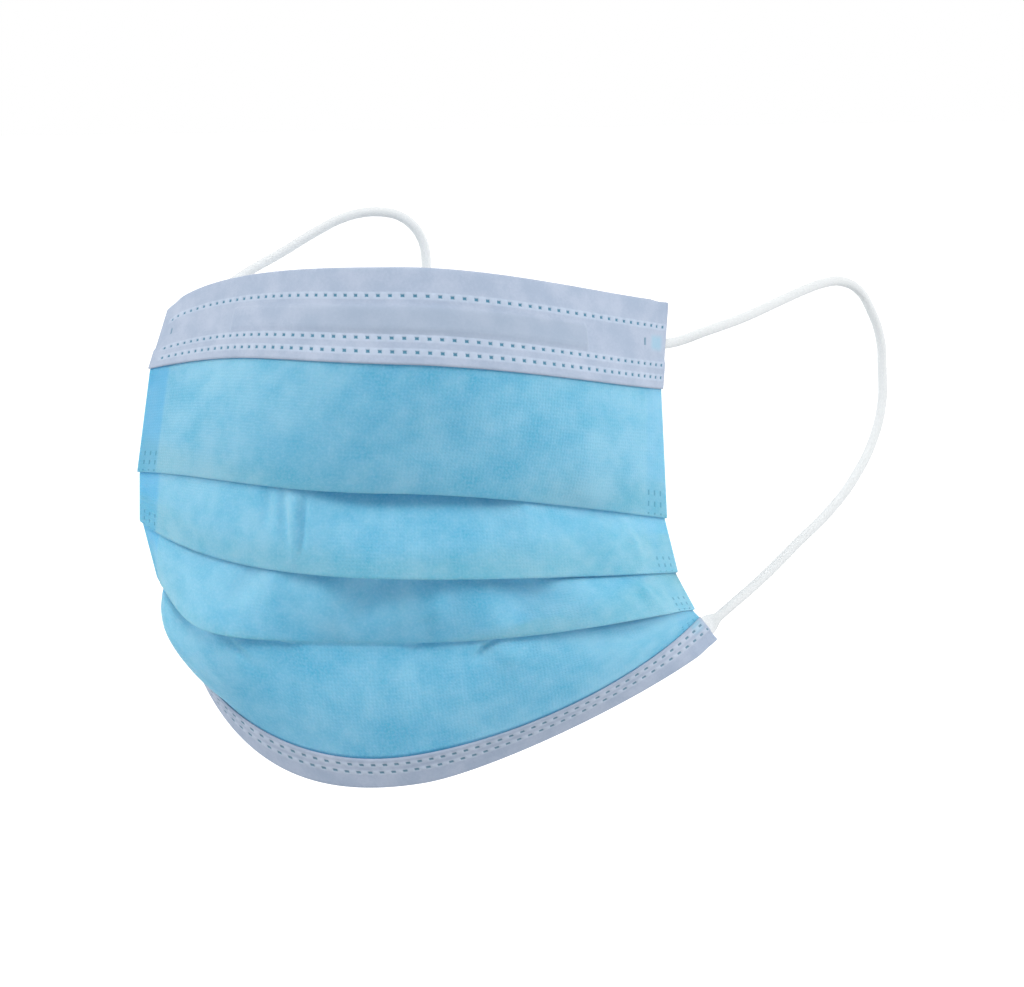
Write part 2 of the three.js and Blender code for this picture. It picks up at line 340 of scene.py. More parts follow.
# The panel is one piece of three thin nonwoven layers, blue outside and white inside. Its three pleats are
# held at the side edges by welds, so that they open towards the middle and leave the hollow for the face.
HALF_WIDTH = 0.0875
PANEL_THICKNESS = 0.00042
PANEL_START = 0.019
PANEL_END = 0.0044
LEAST_SLACK = 0.0002
FOLD_TURN = 0.0009
FOLD_TURN_SHARE = 0.6
BELOW_FOLD = 0.001
BEHIND_FOLD = 0.0013
BEHIND_AT_EDGE = 0.0008
TUCKED_SHARE = 0.991
FLAT_AT_EDGE = 0.027
PANEL_COLUMNS = 320
EDGE_CROWDING = 0.25

# Where the cloth's crosswise lines lie: the middle point and the climb there, then each end point at the side
# edges, the turn towards the face there in degrees, and the climb outwards.
crosswise = {
    "top": {"middle": (0, 0, 0), "climb": 0,
            "right": (0.0615, 0.056, -0.013), "right_turn": 60, "right_climb": -0.12,
            "left": (-0.0695, 0.0485, -0.0135), "left_turn": 36, "left_climb": -0.66},
    "band": {"middle": (0.0025, -0.0115, -0.023), "climb": -0.03,
             "right": (0.0605, 0.0455, -0.035), "right_turn": 72, "right_climb": -0.12,
             "left": (-0.0705, 0.031, -0.028), "left_turn": 36, "left_climb": -0.18},
    "fold1": {"middle": (-0.004, -0.003, -0.0555), "climb": -0.01,
              "right": (0.0615, 0.048, -0.069), "right_turn": 54, "right_climb": -0.2,
              "left": (-0.0775, 0.0405, -0.056), "left_turn": 39, "left_climb": -0.07},
    "fold2": {"middle": (-0.004, -0.004, -0.0765), "climb": -0.02,
              "right": (0.0645, 0.0445, -0.0825), "right_turn": 62, "right_climb": -0.12,
              "left": (-0.077, 0.0395, -0.069), "left_turn": 45, "left_climb": 0.3},
    "fold3": {"middle": (-0.003, 0.0065, -0.0945), "climb": 0,
              "right": (0.069, 0.043, -0.092), "right_turn": 66, "right_climb": -0.1,
              "left": (-0.0715, 0.035, -0.0835), "left_turn": 66, "left_climb": 0.15},
    "seam": {"middle": (-0.0005, 0.01, -0.124), "climb": 0.17,
             "right": (0.07, 0.043, -0.094), "right_turn": 63, "right_climb": 0.4,
             "left": (-0.067, 0.0335, -0.089), "left_turn": 68, "left_climb": 0.78},
    "bottom": {"middle": (0.002, 0.0125, -0.132), "climb": 0.18,
               "right": (0.075, 0.044, -0.1005), "right_turn": 60, "right_climb": 0.39,
               "left": (-0.064, 0.0345, -0.0975), "left_turn": 63, "left_climb": 0.72},
}

# The pleats from the top down: the cloth tucked up behind each fold and the cloth that shows below it, how
# far in the hidden crease lies, how much further in where the pleat gapes, and how far in at the side edges.
pleats = [
    {"above": "fold1", "below": "fold2", "tucked": 0.010, "shown": 0.025,
     "depth": 0.0022, "gape": 0.0056, "edge": 0.0011},
    {"above": "fold2", "below": "fold3", "tucked": 0.011, "shown": 0.022,
     "depth": 0.0022, "gape": 0.0006, "edge": 0.0013},
    {"above": "fold3", "below": "seam", "tucked": 0.014, "shown": 0.016,
     "depth": 0.0016, "gape": 0, "edge": 0.0018},
]
GAPE_FROM, GAPE_FULL_FROM = -0.040, 0.0
GAPE_FULL_TO, GAPE_TO = 0.028, 0.048


def half_line(line, side_name, side):
    """Points along one half of a crosswise line, as long as half of the cloth's width."""
    start = Vector(line["middle"])
    end = Vector(line[side_name])
    turn = math.radians(line[side_name + "_turn"])
    out = Vector((side, 0, line["climb"] * side))
    back = Vector((side * math.cos(turn), math.sin(turn), line[side_name + "_climb"]))
    shortest, longest = 0.001, 0.12
    for _ in range(28):
        reach = (shortest + longest) / 2
        points = interpolate_bezier(start, start + out * reach, end - back * reach, end, 200)
        far = [0.0]
        for before, after in zip(points, points[1:]):
            far.append(far[-1] + (after - before).length)
        if far[-1] < HALF_WIDTH:
            shortest = reach
        else:
            longest = reach
    return points, far


half_lines = {}
for line_name, line in crosswise.items():
    half_lines[line_name] = (half_line(line, "left", -1), half_line(line, "right", 1))


def on_line(name, across):
    """The point of a crosswise line that lies so far to the right of the middle, along the cloth."""
    points, far = half_lines[name][0 if across < 0 else 1]
    reach = min(abs(across), far[-1])
    index = min(len(far) - 2, max(0, bisect.bisect_right(far, reach) - 1))
    share = (reach - far[index]) / (far[index + 1] - far[index])
    return points[index].lerp(points[index + 1], share)


def strip_frame(across, first, second):
    """Where the cloth between two lines starts, which way it runs, which way is inwards, and its height."""
    start = on_line(first, across)
    run = on_line(second, across) - start
    height = run.length
    run.normalize()
    along = on_line(first, across + 0.001) - on_line(first, across - 0.001)
    inward = along.cross(run).normalized()
    if first == "bottom":
        inward = -inward
    return start, run, inward, height


def up_from(across, line_name, rise):
    """The place so far up the cloth from a line, on the stretches between the lines above it."""
    names = list(crosswise)
    index = names.index(line_name)
    start, run, inward, height = strip_frame(across, names[index - 1], names[index])
    while rise > height:
        rise -= height
        index -= 1
        start, run, inward, height = strip_frame(across, names[index - 1], names[index])
    return start + run * (height - rise), inward


def pleat_knots(across, pleat):
    """The knots of a pleat: its fold, its turn inwards, the hidden crease, and the cloth behind the fold.

    The deeper the hidden crease lies, the lower it is. It ends a little short of the side edges."""
    start, run, inward, height = strip_frame(across, pleat["above"], pleat["below"])
    whole = pleat["tucked"] + pleat["shown"]
    gap = min(height, whole - LEAST_SLACK)
    deepest = math.sqrt(whole ** 2 - gap ** 2) / 2
    gaping = smooth_step(across, GAPE_FROM, GAPE_FULL_FROM)
    gaping *= 1 - smooth_step(across, GAPE_FULL_TO, GAPE_TO)
    opened = smooth_step(HALF_WIDTH - abs(across), 0, FLAT_AT_EDGE)
    wanted = pleat["edge"] + (pleat["depth"] + pleat["gape"] * gaping - pleat["edge"]) * opened
    depth = min(wanted, deepest * math.sqrt(1 - ((gap - 2 * BELOW_FOLD) / whole) ** 2))
    rise = (whole * math.sqrt(1 - (depth / deepest) ** 2) - gap) / 2
    place, inward_above = up_from(across * TUCKED_SHARE, pleat["above"], max(rise, 0))
    way = inward.lerp(inward_above, smooth_step(rise, -0.001, 0.004)).normalized()
    crease = place + run * max(-rise, 0) + way * depth
    behind = crease.lerp(on_line(pleat["below"], across), max(rise, 0) / (max(rise, 0) + gap))
    short = max(0, BEHIND_FOLD - (behind - start).dot(inward))
    behind += inward * short * smooth_step(rise, 0, 0.002)
    behind = (start + inward * BEHIND_AT_EDGE).lerp(behind, opened)
    return [start, start + way * min(FOLD_TURN, depth * FOLD_TURN_SHARE), crease, behind]


# Soft dents, pockets and ridges in the cloth that shows: the layer, the place across it, the share down it,
# the half width across, the half height as a share, the depth inwards and the slant.
dents = [
    {"layer": 1, "across": 0.055, "down": 0.80, "wide": 0.0060, "high": 0.35, "deep": -0.0010, "slant": 0.0},
    {"layer": 1, "across": 0.010, "down": 0.60, "wide": 0.0160, "high": 0.30, "deep": 0.0008, "slant": 0.0},
    {"layer": 5, "across": -0.0345, "down": 0.28, "wide": 0.0020, "high": 0.26, "deep": 0.0010, "slant": 0.2},
    {"layer": 5, "across": -0.0285, "down": 0.35, "wide": 0.0016, "high": 0.34, "deep": 0.0013, "slant": 0.3},
    {"layer": 5, "across": -0.0256, "down": 0.50, "wide": 0.0020, "high": 0.42, "deep": -0.0011, "slant": 0.1},
    {"layer": 5, "across": -0.0228, "down": 0.50, "wide": 0.0012, "high": 0.38, "deep": 0.0012, "slant": 0.0},
    {"layer": 5, "across": 0.0620, "down": 0.40, "wide": 0.0070, "high": 0.40, "deep": -0.0011, "slant": 0.2},
    {"layer": 5, "across": 0.0722, "down": 0.42, "wide": 0.0022, "high": 0.34, "deep": -0.0008, "slant": 0.1},
    {"layer": 9, "across": -0.0740, "down": 0.55, "wide": 0.0100, "high": 0.50, "deep": -0.0016, "slant": 0.0},
    {"layer": 9, "across": -0.0410, "down": 0.22, "wide": 0.0042, "high": 0.26, "deep": 0.0015, "slant": -0.2},
    {"layer": 9, "across": -0.0170, "down": 0.50, "wide": 0.0046, "high": 0.40, "deep": -0.0013, "slant": 0.1},
    {"layer": 9, "across": -0.0030, "down": 0.12, "wide": 0.0075, "high": 0.32, "deep": 0.0027, "slant": -0.2},
    {"layer": 9, "across": -0.0060, "down": 0.50, "wide": 0.0034, "high": 0.26, "deep": 0.0012, "slant": -0.2},
    {"layer": 9, "across": 0.0110, "down": 0.48, "wide": 0.0028, "high": 0.26, "deep": -0.0015, "slant": -0.3},
    {"layer": 9, "across": 0.0095, "down": 0.62, "wide": 0.0010, "high": 0.16, "deep": 0.0006, "slant": -1.0},
    {"layer": 9, "across": 0.0355, "down": 0.18, "wide": 0.0080, "high": 0.40, "deep": 0.0040, "slant": 0.0},
    {"layer": 9, "across": 0.0325, "down": 0.62, "wide": 0.0050, "high": 0.28, "deep": 0.0016, "slant": -0.1},
    {"layer": 9, "across": 0.0500, "down": 0.40, "wide": 0.0060, "high": 0.40, "deep": -0.0014, "slant": 0.0},
    {"layer": 9, "across": 0.0700, "down": 0.42, "wide": 0.0022, "high": 0.34, "deep": -0.0008, "slant": 0.3},
    {"layer": 13, "across": -0.0700, "down": 0.55, "wide": 0.0170, "high": 0.55, "deep": -0.0042, "slant": 0.0},
    {"layer": 13, "across": 0.0222, "down": 0.11, "wide": 0.0013, "high": 0.08, "deep": 0.0022, "slant": -1.6},
    {"layer": 13, "across": 0.0290, "down": 0.19, "wide": 0.0038, "high": 0.13, "deep": -0.0012, "slant": 0.0},
    {"layer": 13, "across": -0.0420, "down": 0.15, "wide": 0.0013, "high": 0.12, "deep": 0.0010, "slant": 1.5},
]

SLANT_REACH = 0.02
INWARD_FADE = (0.03, 0.4)
OUTWARD_FADE = (0, 0.15)
LOWER_FADE = (0, 0.12)
SIDE_FADE = (0.001, 0.009)


def dent_depth(layer, across, down):
    """How far in all dents together push the cloth. They fade out towards the folds and the side edges."""
    total = 0
    for dent in dents:
        if dent["layer"] == layer:
            shift = dent["slant"] * (down - dent["down"]) * SLANT_REACH
            x = (across - dent["across"] - shift) / dent["wide"]
            y = (down - dent["down"]) / dent["high"]
            depth = dent["deep"] * math.exp(-x * x - y * y)
            if depth > 0:
                total += depth * smooth_step(1 - down, *INWARD_FADE)
            else:
                total += depth * smooth_step(down, *OUTWARD_FADE)
    total *= smooth_step(1 - down, *LOWER_FADE)
    return total * smooth_step(HALF_WIDTH - abs(across), *SIDE_FADE)


# The rows of the panel's mesh between its knots, from the top down, and how far each stretch bulges outwards.
# A pleat adds three short hidden stretches and the one that shows below its fold.
stretches = [{"rows": 5, "bulge": 0}, {"rows": 30, "bulge": 0.0014}]
for rows, bulge in ((26, 0.0010), (24, 0.0010), (24, 0.0018)):
    stretches += [{"rows": hidden, "bulge": 0} for hidden in (3, 5, 3)]
    stretches.append({"rows": rows, "bulge": bulge})
stretches.append({"rows": 4, "bulge": 0})
SHOWN_LAYERS = (1, 5, 9, 13)
BULGE_FADE = (0.004, 0.03)
ROUNDING = 0.0008

# The welds that hold the pleats at the side edges: columns of short dashes just above each fold and the seam.
WELD_COLUMNS = (0.0800, 0.0825, 0.0850)
WELD_PITCH = 0.0030
WELD_DASH = 0.0008
WELD_HALF_WIDTH = 0.0004
WELD_DEPTH = 0.0001
WELD_CLEAR = 0.0004
WELD_REACH = 0.0080
WELD_BLUR = 0.0002
WELDED_EDGE = 0.0790


def panel_knots(across):
    """The knots of the panel at one place across it, from its upper edge to its lower edge."""
    start, run, inward, height = strip_frame(across, "top", "band")
    knots = [start + run * PANEL_START, on_line("band", across)]
    for pleat in pleats:
        knots += pleat_knots(across, pleat)
    start, run, inward, height = strip_frame(across, "seam", "bottom")
    return knots + [start, start + run * PANEL_END]


def rounded_run(knots, rows_of):
    """Points along straight stretches between the knots, with every knot rounded a little."""
    points = []
    last = len(knots) - 2
    for index, rows in enumerate(rows_of):
        first, second = knots[index], knots[index + 1]
        run = second - first
        length = max(run.length, 1e-7)
        way = run / length
        radius = min(ROUNDING, length / 2)
        for row in range(rows + (index == last)):
            down = 0.5 - 0.5 * math.cos(math.pi * row / rows)
            point = first + run * down
            if index > 0 and down * length < radius:
                before = (knots[index - 1] - first).normalized()
                u = 0.5 + down * length / (2 * radius)
                bend = min(radius, (knots[index - 1] - first).length / 2)
                point = ((first + before * bend) * (1 - u) ** 2 + first * (2 * u * (1 - u))
                         + (first + way * radius) * u ** 2)
            elif index < last and (1 - down) * length < radius:
                after = knots[index + 2] - second
                bend = min(radius, after.length / 2)
                u = (radius - (1 - down) * length) / (2 * radius)
                point = ((second - way * radius) * (1 - u) ** 2 + second * (2 * u * (1 - u))
                         + (second + after.normalized() * bend) * u ** 2)
            points.append((index, down, point))
    return points


def cloth_piece(name, columns, rows, point_at, finishes, thickness):
    """A sheet of cloth from a grid: point_at gives each vertex its place, and its place on the flat cloth."""
    grid = bmesh.new()
    bmesh.ops.create_grid(grid, x_segments=columns, y_segments=rows, size=1)
    cloth = grid.loops.layers.uv.new("cloth")
    flat = {}
    for vertex in grid.verts:
        column = round((vertex.co.x + 1) / 2 * columns)
        row = round((1 - vertex.co.y) / 2 * rows)
        vertex.co, flat[vertex] = point_at(column, row)
    for face in grid.faces:
        face.smooth = True
        for loop in face.loops:
            loop[cloth].uv = flat[loop.vert]
    mesh = bpy.data.meshes.new(name)
    grid.to_mesh(mesh)
    grid.free()
    piece = add_piece(name, mesh, finishes)
    wall = piece.modifiers.new("cloth_thickness", "SOLIDIFY")
    wall.thickness = thickness
    wall.offset = -1
    wall.material_offset = 1
    wall.material_offset_rim = 1
    return piece


panel_columns = []
for column in range(PANEL_COLUMNS + 1):
    x = 2 * column / PANEL_COLUMNS - 1
    across = HALF_WIDTH * ((1 + EDGE_CROWDING) * x - EDGE_CROWDING * x ** 3)
    panel_columns.append((across, rounded_run(panel_knots(across), [s["rows"] for s in stretches])))

middle_run = panel_columns[PANEL_COLUMNS // 2][1]
down_cloth = [0.0]
for before, after in zip(middle_run, middle_run[1:]):
    down_cloth.append(down_cloth[-1] + (after[2] - before[2]).length)
welded_ends = [down_cloth[sum(s["rows"] for s in stretches[:layer + 1])] for layer in SHOWN_LAYERS]


def panel_point(column, row):
    """A point of the panel: on its run down the cloth, moved by the bulge, the dents and the weld dashes."""
    across, run = panel_columns[column]
    layer, down, point = run[row]
    neighbour = panel_columns[min(column + 1, PANEL_COLUMNS)][1]
    previous = panel_columns[max(column - 1, 0)][1]
    side = neighbour[row][2] - previous[row][2]
    along = run[min(row + 1, len(run) - 1)][2] - run[max(row - 1, 0)][2]
    inward = side.cross(along).normalized()
    free = smooth_step(HALF_WIDTH - abs(across), *BULGE_FADE)
    lift = stretches[layer]["bulge"] * math.sin(math.pi * down) * free
    lift -= dent_depth(layer, across, down)
    if any(WELD_CLEAR < end - down_cloth[row] < WELD_REACH for end in welded_ends):
        beat = abs((down_cloth[row] / WELD_PITCH) % 1 - 0.5) * WELD_PITCH
        for place in WELD_COLUMNS:
            beside = abs(abs(across) - place) / WELD_HALF_WIDTH
            if beside < 1 and beat < WELD_DASH:
                lift -= WELD_DEPTH * (1 - beside ** 2) * smooth_step(WELD_DASH - beat, 0, 0.0003)
    return point - inward * lift, (across, down_cloth[row])


BLUE_DEEP = (0.110, 0.455, 0.64, 1)
BLUE_PALE = (0.27, 0.575, 0.735, 1)
BLUE_FLECK = (0.42, 0.66, 0.84, 1)
BLUE_THREAD = (0.085, 0.40, 0.62, 1)
BLUE_PRESSED_AND_SHADED = (0.07, 0.43, 0.74, 1)
BLUE_WELD_AND_SEAM_SHADE = (0.04, 0.24, 0.42, 1)
LINING_SHADE = (0.70, 0.77, 0.83, 1)
LINING_WHITE = (0.80, 0.84, 0.87, 1)


def weld_dashes(finish, side, down):
    """A mask of the weld dashes at both side edges, from the place across the cloth and down it."""
    beat = finish.sum("FRACT", down / WELD_PITCH, 0.0) - 0.5
    dash = 1 - finish.between(finish.absolute(beat) * WELD_PITCH, WELD_DASH - WELD_BLUR, WELD_DASH)
    columns = 0.0
    for place in WELD_COLUMNS:
        beside = finish.absolute(side - place)
        columns = (1 - finish.between(beside, WELD_HALF_WIDTH - WELD_BLUR, WELD_HALF_WIDTH)) + columns
    zones = 0.0
    for end in welded_ends:
        zones = finish.between(down, end - WELD_REACH, end - WELD_REACH + WELD_BLUR) * (
            1 - finish.between(down, end - WELD_CLEAR - WELD_BLUR, end - WELD_CLEAR)) + zones
    return dash * columns * zones


blue = Finish("blue_nonwoven", roughness=0.85, sheen=0.15)
blue.let_light_through(0.45, (0.35, 0.8, 1.0), 0.0012)
place = blue.cloth_place()
clouds = blue.noise(place, 40, 3.0, 0.45)
patches = blue.noise(place, 150, 3.0, 0.55)
flecks = blue.noise(place, 1400, 3.0, 0.65)
fibres = blue.fibres(place)
across = blue.axis(place, 0)
side = blue.absolute(across)
down = blue.axis(place, 1)
# Painted light: the cloth is painted a little paler towards both side edges, where it faces the side lamps.
painted_side_light = blue.between(side, 0.030, 0.056) * 0.05
pale = blue.between(clouds * 0.55 + patches * 0.45 + painted_side_light, 0.31, 0.71)
tone = blue.mix(pale, BLUE_DEEP, BLUE_PALE)
tone = blue.mix(blue.between(flecks, 0.35, 0.8) * 0.36, tone, BLUE_FLECK)
tone = blue.mix(blue.between(1 - fibres, 0.45, 0.85) * 0.25, tone, BLUE_THREAD)
# The welded side edges are a little darker and bluer where the cloth is pressed. The left edge gets more of
# this colour as painted shade, where it turns away from the light.
pressed = blue.between(side, WELDED_EDGE - 0.001, WELDED_EDGE + 0.001) * 0.15
pressed = pressed + blue.between(0 - across, WELDED_EDGE - 0.0005, WELDED_EDGE + 0.001) * 0.3
tone = blue.mix(pressed, tone, BLUE_PRESSED_AND_SHADED)
tone = blue.mix(weld_dashes(blue, side, down) * 0.6, tone, BLUE_WELD_AND_SEAM_SHADE)
# Painted shade: a thin dark line in the weld colour along the seam, just above the bottom strip's edge.
seam_shadow_off = blue.absolute(down - (welded_ends[-1] - 0.0002))
tone = blue.mix((1 - blue.between(seam_shadow_off, 0.0002, 0.0007)) * 0.5, tone, BLUE_WELD_AND_SEAM_SHADE)
blue.feed(blue.shader.inputs["Base Color"], tone)
points = blue.node("ShaderNodeTexVoronoi", {"feature": "F1"},
                   {"Vector": place, "Scale": 1100, "Randomness": 0.25})
pins = blue.between(points, 0.15, 0.42)
blue.feed(blue.shader.inputs["Normal"], blue.bump(pins * 0.6 + fibres * 0.5 + flecks * 0.5, 0.00008, 0.8))

lining = Finish("white_inner_layer", roughness=0.9, sheen=0.2)
place = lining.cloth_place()
fluff = lining.noise(place, 300, 4.0, 0.6)
fibres = lining.fibres(place)
lining.feed(lining.shader.inputs["Base Color"], lining.mix(
    lining.between(fluff * 0.5 + fibres * 0.5, 0.35, 0.65), LINING_SHADE, LINING_WHITE))
lining.feed(lining.shader.inputs["Normal"], lining.bump(fibres, 0.00008, 0.7))

panel_rows = sum(stretch["rows"] for stretch in stretches)
panel = cloth_piece("pleated_panel", PANEL_COLUMNS, panel_rows, panel_point, [blue, lining],
                    PANEL_THICKNESS)
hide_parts("mask_panel")


# The top strip is a white nonwoven ribbon folded over the panel's upper edge and welded in three rows of
# small dots. The nose wire lies loose in it, between the first row of dots and the panel.
STRIP_THICKNESS = 0.0003
STRIP_OUTSIDE = -0.0004
STRIP_INSIDE = 0.00095
DOT_PITCH = 0.003
DOTS_FROM, DOTS_TO = -0.084, 0.087
DOT_ROUND, DOT_SLOPE = 0.0001, 0.0003
STRIP_COLUMNS = 525
DOTS_MIDDLE = (DOTS_FROM + DOTS_TO) / 2
DOTS_HALF = (DOTS_TO - DOTS_FROM) / 2
CLOSED_FROM, CLOSED = 0.079, 0.084
ENDS_ON_PANEL = {"outside": -0.00031, "inside": 0.00074}
ENDS_TOGETHER = {"outside": 0.00003, "inside": 0.00064}
TOP_HEIGHT = 0.026
TOP_BACK = 0.020
TOP_DOTS = {"rows": (0.008, 0.0192, 0.0228), "shift": 0.0, "half_length": 0.00062, "half_height": 0.00048,
            "depth": 0.00024, "bar": 0.00014}
WIRE_HALF_LENGTH = 0.0515
WIRE_LOW, WIRE_HIGH = 0.0120, 0.0168
WIRE_RELIEF = 0.00065
WIRE_SLOPE_ABOVE, WIRE_SLOPE_BELOW, WIRE_SLOPE_ENDS = 0.0018, 0.0013, 0.0015
TICKS_MIDDLE = -0.0024
TICK_ACROSS, TICK_DOWN = 0.0790, 0.0128
TICK_HALF_WIDTH, TICK_HALF_HEIGHT = 0.0005, 0.0011
TICK_DEPTH, TICK_SLOPE = 0.00025, 0.0003


def dot_relief(across, down, dots):
    """How far the strip is pressed in at a weld dot, or stands up between two dots of a row."""
    for number, dot_row in enumerate(dots["rows"]):
        off = abs(down - dot_row)
        if off < 2 * dots["half_height"] + 0.0002 and DOTS_FROM < across < DOTS_TO:
            beat = abs((across / DOT_PITCH + dots["shift"] * number) % 1 - 0.5) * DOT_PITCH
            inside = smooth_step(dots["half_length"] + DOT_ROUND - beat, 0, DOT_SLOPE)
            inside *= smooth_step(dots["half_height"] + DOT_ROUND - off, 0, DOT_SLOPE)
            between = smooth_step(beat, dots["half_length"], dots["half_length"] + 0.0004)
            between *= 1 - smooth_step(off, 0.0003, 2 * dots["half_height"])
            return dots["bar"] * between - dots["depth"] * inside
    return 0.0


def layer_depths(across, on_panel):
    """How far out and in the two legs of a strip lie. Both ends are welded flat, on the panel or together."""
    closed = smooth_step(abs(across), CLOSED_FROM, CLOSED)
    outside, inside = (ENDS_ON_PANEL[leg] * on_panel + ENDS_TOGETHER[leg] * (1 - on_panel)
                       for leg in ("outside", "inside"))
    return (STRIP_OUTSIDE + (outside - STRIP_OUTSIDE) * closed,
            STRIP_INSIDE + (inside - STRIP_INSIDE) * closed)


def strip_point(across, down, depth, edge, other, full_height):
    """A point of a strip: down from its fold, stretched to the height that it has here, and inwards."""
    start, run, inward, height = strip_frame(across, edge, other)
    return start + run * (down * height / full_height) + inward * depth


FOLD_START = 0.0012
FOLD_STEPS = 8
BACK_STEPS = 18
PLAIN_ROW, DOT_ROW, DOT_ROWS_REACH = 0.0007, 0.00024, 0.0011


def row_places(height, dots):
    """The rows of a strip's outer leg, from its free edge to its fold, closer together at the weld dots."""
    downs = [height]
    while downs[-1] > FOLD_START:
        near = min(abs(downs[-1] - row) for row in dots["rows"])
        downs.append(downs[-1] - (DOT_ROW if near < DOT_ROWS_REACH else PLAIN_ROW))
    return downs


top_downs = row_places(TOP_HEIGHT, TOP_DOTS)
TOP_ROWS = len(top_downs) + FOLD_STEPS + BACK_STEPS


def folded_strip_place(across, row, downs, full_height, back, on_panel):
    """Where a row of a folded strip lies: down from the fold, inwards, and down the flat cloth."""
    if row < len(downs):
        outside, inside = layer_depths(across, on_panel(downs[row]))
        return downs[row], outside, full_height - downs[row]
    outside, inside = layer_depths(across, 0)
    if row < len(downs) + FOLD_STEPS:
        turn = math.pi * (row - len(downs) + 1) / (FOLD_STEPS + 1)
        radius = (inside - outside) / 2
        return (downs[-1] - radius * math.sin(turn), outside + radius - radius * math.cos(turn),
                full_height - downs[-1] + radius * turn)
    down = downs[-1] + (back - downs[-1]) * (row - len(downs) - FOLD_STEPS) / BACK_STEPS
    outside, inside = layer_depths(across, on_panel(down))
    return down, inside, full_height + 0.001 + down


def on_top_panel(down):
    return smooth_step(down, PANEL_START - 0.002, PANEL_START)


def top_strip_point(column, row):
    across = HALF_WIDTH * (2 * column / STRIP_COLUMNS - 1)
    down, depth, flat_down = folded_strip_place(
        across, row, top_downs, TOP_HEIGHT, TOP_BACK, on_top_panel)
    if row < len(top_downs):
        over = smooth_step(down, WIRE_LOW - WIRE_SLOPE_ABOVE, WIRE_LOW)
        over *= 1 - smooth_step(down, WIRE_HIGH, WIRE_HIGH + WIRE_SLOPE_BELOW)
        over *= smooth_step(WIRE_HALF_LENGTH + WIRE_SLOPE_ENDS - abs(across), 0, WIRE_SLOPE_ENDS)
        beside = abs(abs(across - TICKS_MIDDLE) - TICK_ACROSS)
        tick = 1 - smooth_step(beside, 0, TICK_HALF_WIDTH * 1.5)
        tick *= 1 - smooth_step(abs(down - TICK_DOWN), TICK_HALF_HEIGHT - TICK_SLOPE,
                                TICK_HALF_HEIGHT + TICK_SLOPE)
        depth += TICK_DEPTH * tick - WIRE_RELIEF * over - dot_relief(across, down, TOP_DOTS)
    return strip_point(across, down, depth, "top", "band", TOP_HEIGHT), (across, flat_down)


def patch(finish, value, middle, half, soft):
    """1 where a value lies within half of the middle, 0 outside, and a soft edge between."""
    return 1 - finish.between(finish.absolute(value - middle), half - soft, half + soft)


def weld_dots(finish, side, down, height, dots):
    """A mask of the weld dots of a strip, from the place along it and down its flat cloth."""
    total = 0.0
    for number, row in enumerate(dots["rows"]):
        beat = finish.sum("FRACT", side / DOT_PITCH + (dots["shift"] * number + 100), 0.0) - 0.5
        near = finish.absolute(beat) * DOT_PITCH
        dot = 1 - finish.between(near, dots["half_length"] - 0.0002, dots["half_length"] + 0.0001)
        total = dot * patch(finish, down, height - row, dots["half_height"], 0.00015) + total
    return total * patch(finish, side, DOTS_MIDDLE, DOTS_HALF, 0.0001)


STRIP_SHADE = (0.37, 0.45, 0.585, 1)
STRIP_PALE = (0.46, 0.53, 0.66, 1)
STRIP_THREAD = (0.34, 0.42, 0.56, 1)
PRESSED_THROUGH = (0.27, 0.54, 0.70, 1)
WIRE_SHADE = (0.33, 0.41, 0.52, 1)
TICK_BLUE = (0.12, 0.25, 0.36, 1)
TOP_DOT_BLUE = (0.085, 0.245, 0.36, 1)
TOP_RIM = (0.58, 0.68, 0.82, 1)


def strip_finish(name, height, dots, dot_colour, rim_colour, marks):
    """The finish of a strip. marks are spots painted on it, welds and painted shade alike: each a mask from
    side and down, a share, a colour.
    """
    finish = Finish(name, roughness=0.85, sheen=0.15)
    place = finish.cloth_place()
    clouds = finish.noise(place, 110, 3.0, 0.55)
    flecks = finish.noise(place, 1300, 3.0, 0.65)
    fibres = finish.fibres(place)
    side = finish.axis(place, 0)
    down = finish.axis(place, 1)
    tone = finish.mix(finish.between(clouds * 0.7 + flecks * 0.3, 0.36, 0.66), STRIP_SHADE, STRIP_PALE)
    tone = finish.mix(finish.between(1 - fibres, 0.45, 0.85) * 0.22, tone, STRIP_THREAD)
    for mark in marks:
        tone = finish.mix(mark["mask"](finish, side, down) * mark["share"], tone, mark["colour"])
    for row in dots["rows"]:
        rim = patch(finish, down, height - row, 2 * dots["half_height"], 0.0003)
        rim = rim * patch(finish, side, DOTS_MIDDLE, DOTS_HALF, 0.001)
        tone = finish.mix(rim * 0.4, tone, rim_colour)
    tone = finish.mix(weld_dots(finish, side, down, height, dots), tone, dot_colour)
    finish.feed(finish.shader.inputs["Base Color"], tone)
    finish.feed(finish.shader.inputs["Normal"], finish.bump(fibres * 0.5 + flecks * 0.5, 0.00008, 0.7))
    return finish


def wire_shadow(finish, side, down):
    """The shade along the wire's relief, which fades out towards the left."""
    place = TOP_HEIGHT - (WIRE_LOW + WIRE_HIGH) / 2
    ends = finish.between(side, -0.045, -0.005) * (1 - finish.between(side, WIRE_HALF_LENGTH, 0.053))
    return ends * patch(finish, down, place, 0.0034, 0.0009)


def top_tick(finish, side, down):
    away = finish.absolute(side - TICKS_MIDDLE)
    return patch(finish, away, TICK_ACROSS, TICK_HALF_WIDTH, 0.00015) * patch(
        finish, down, TOP_HEIGHT - TICK_DOWN, TICK_HALF_HEIGHT, 0.0002)


def top_weld(finish, side, down):
    return patch(finish, side, 0.0825, 0.0028, 0.0012) * patch(
        finish, down, TOP_HEIGHT - TICK_DOWN, 0.0020, 0.0010)


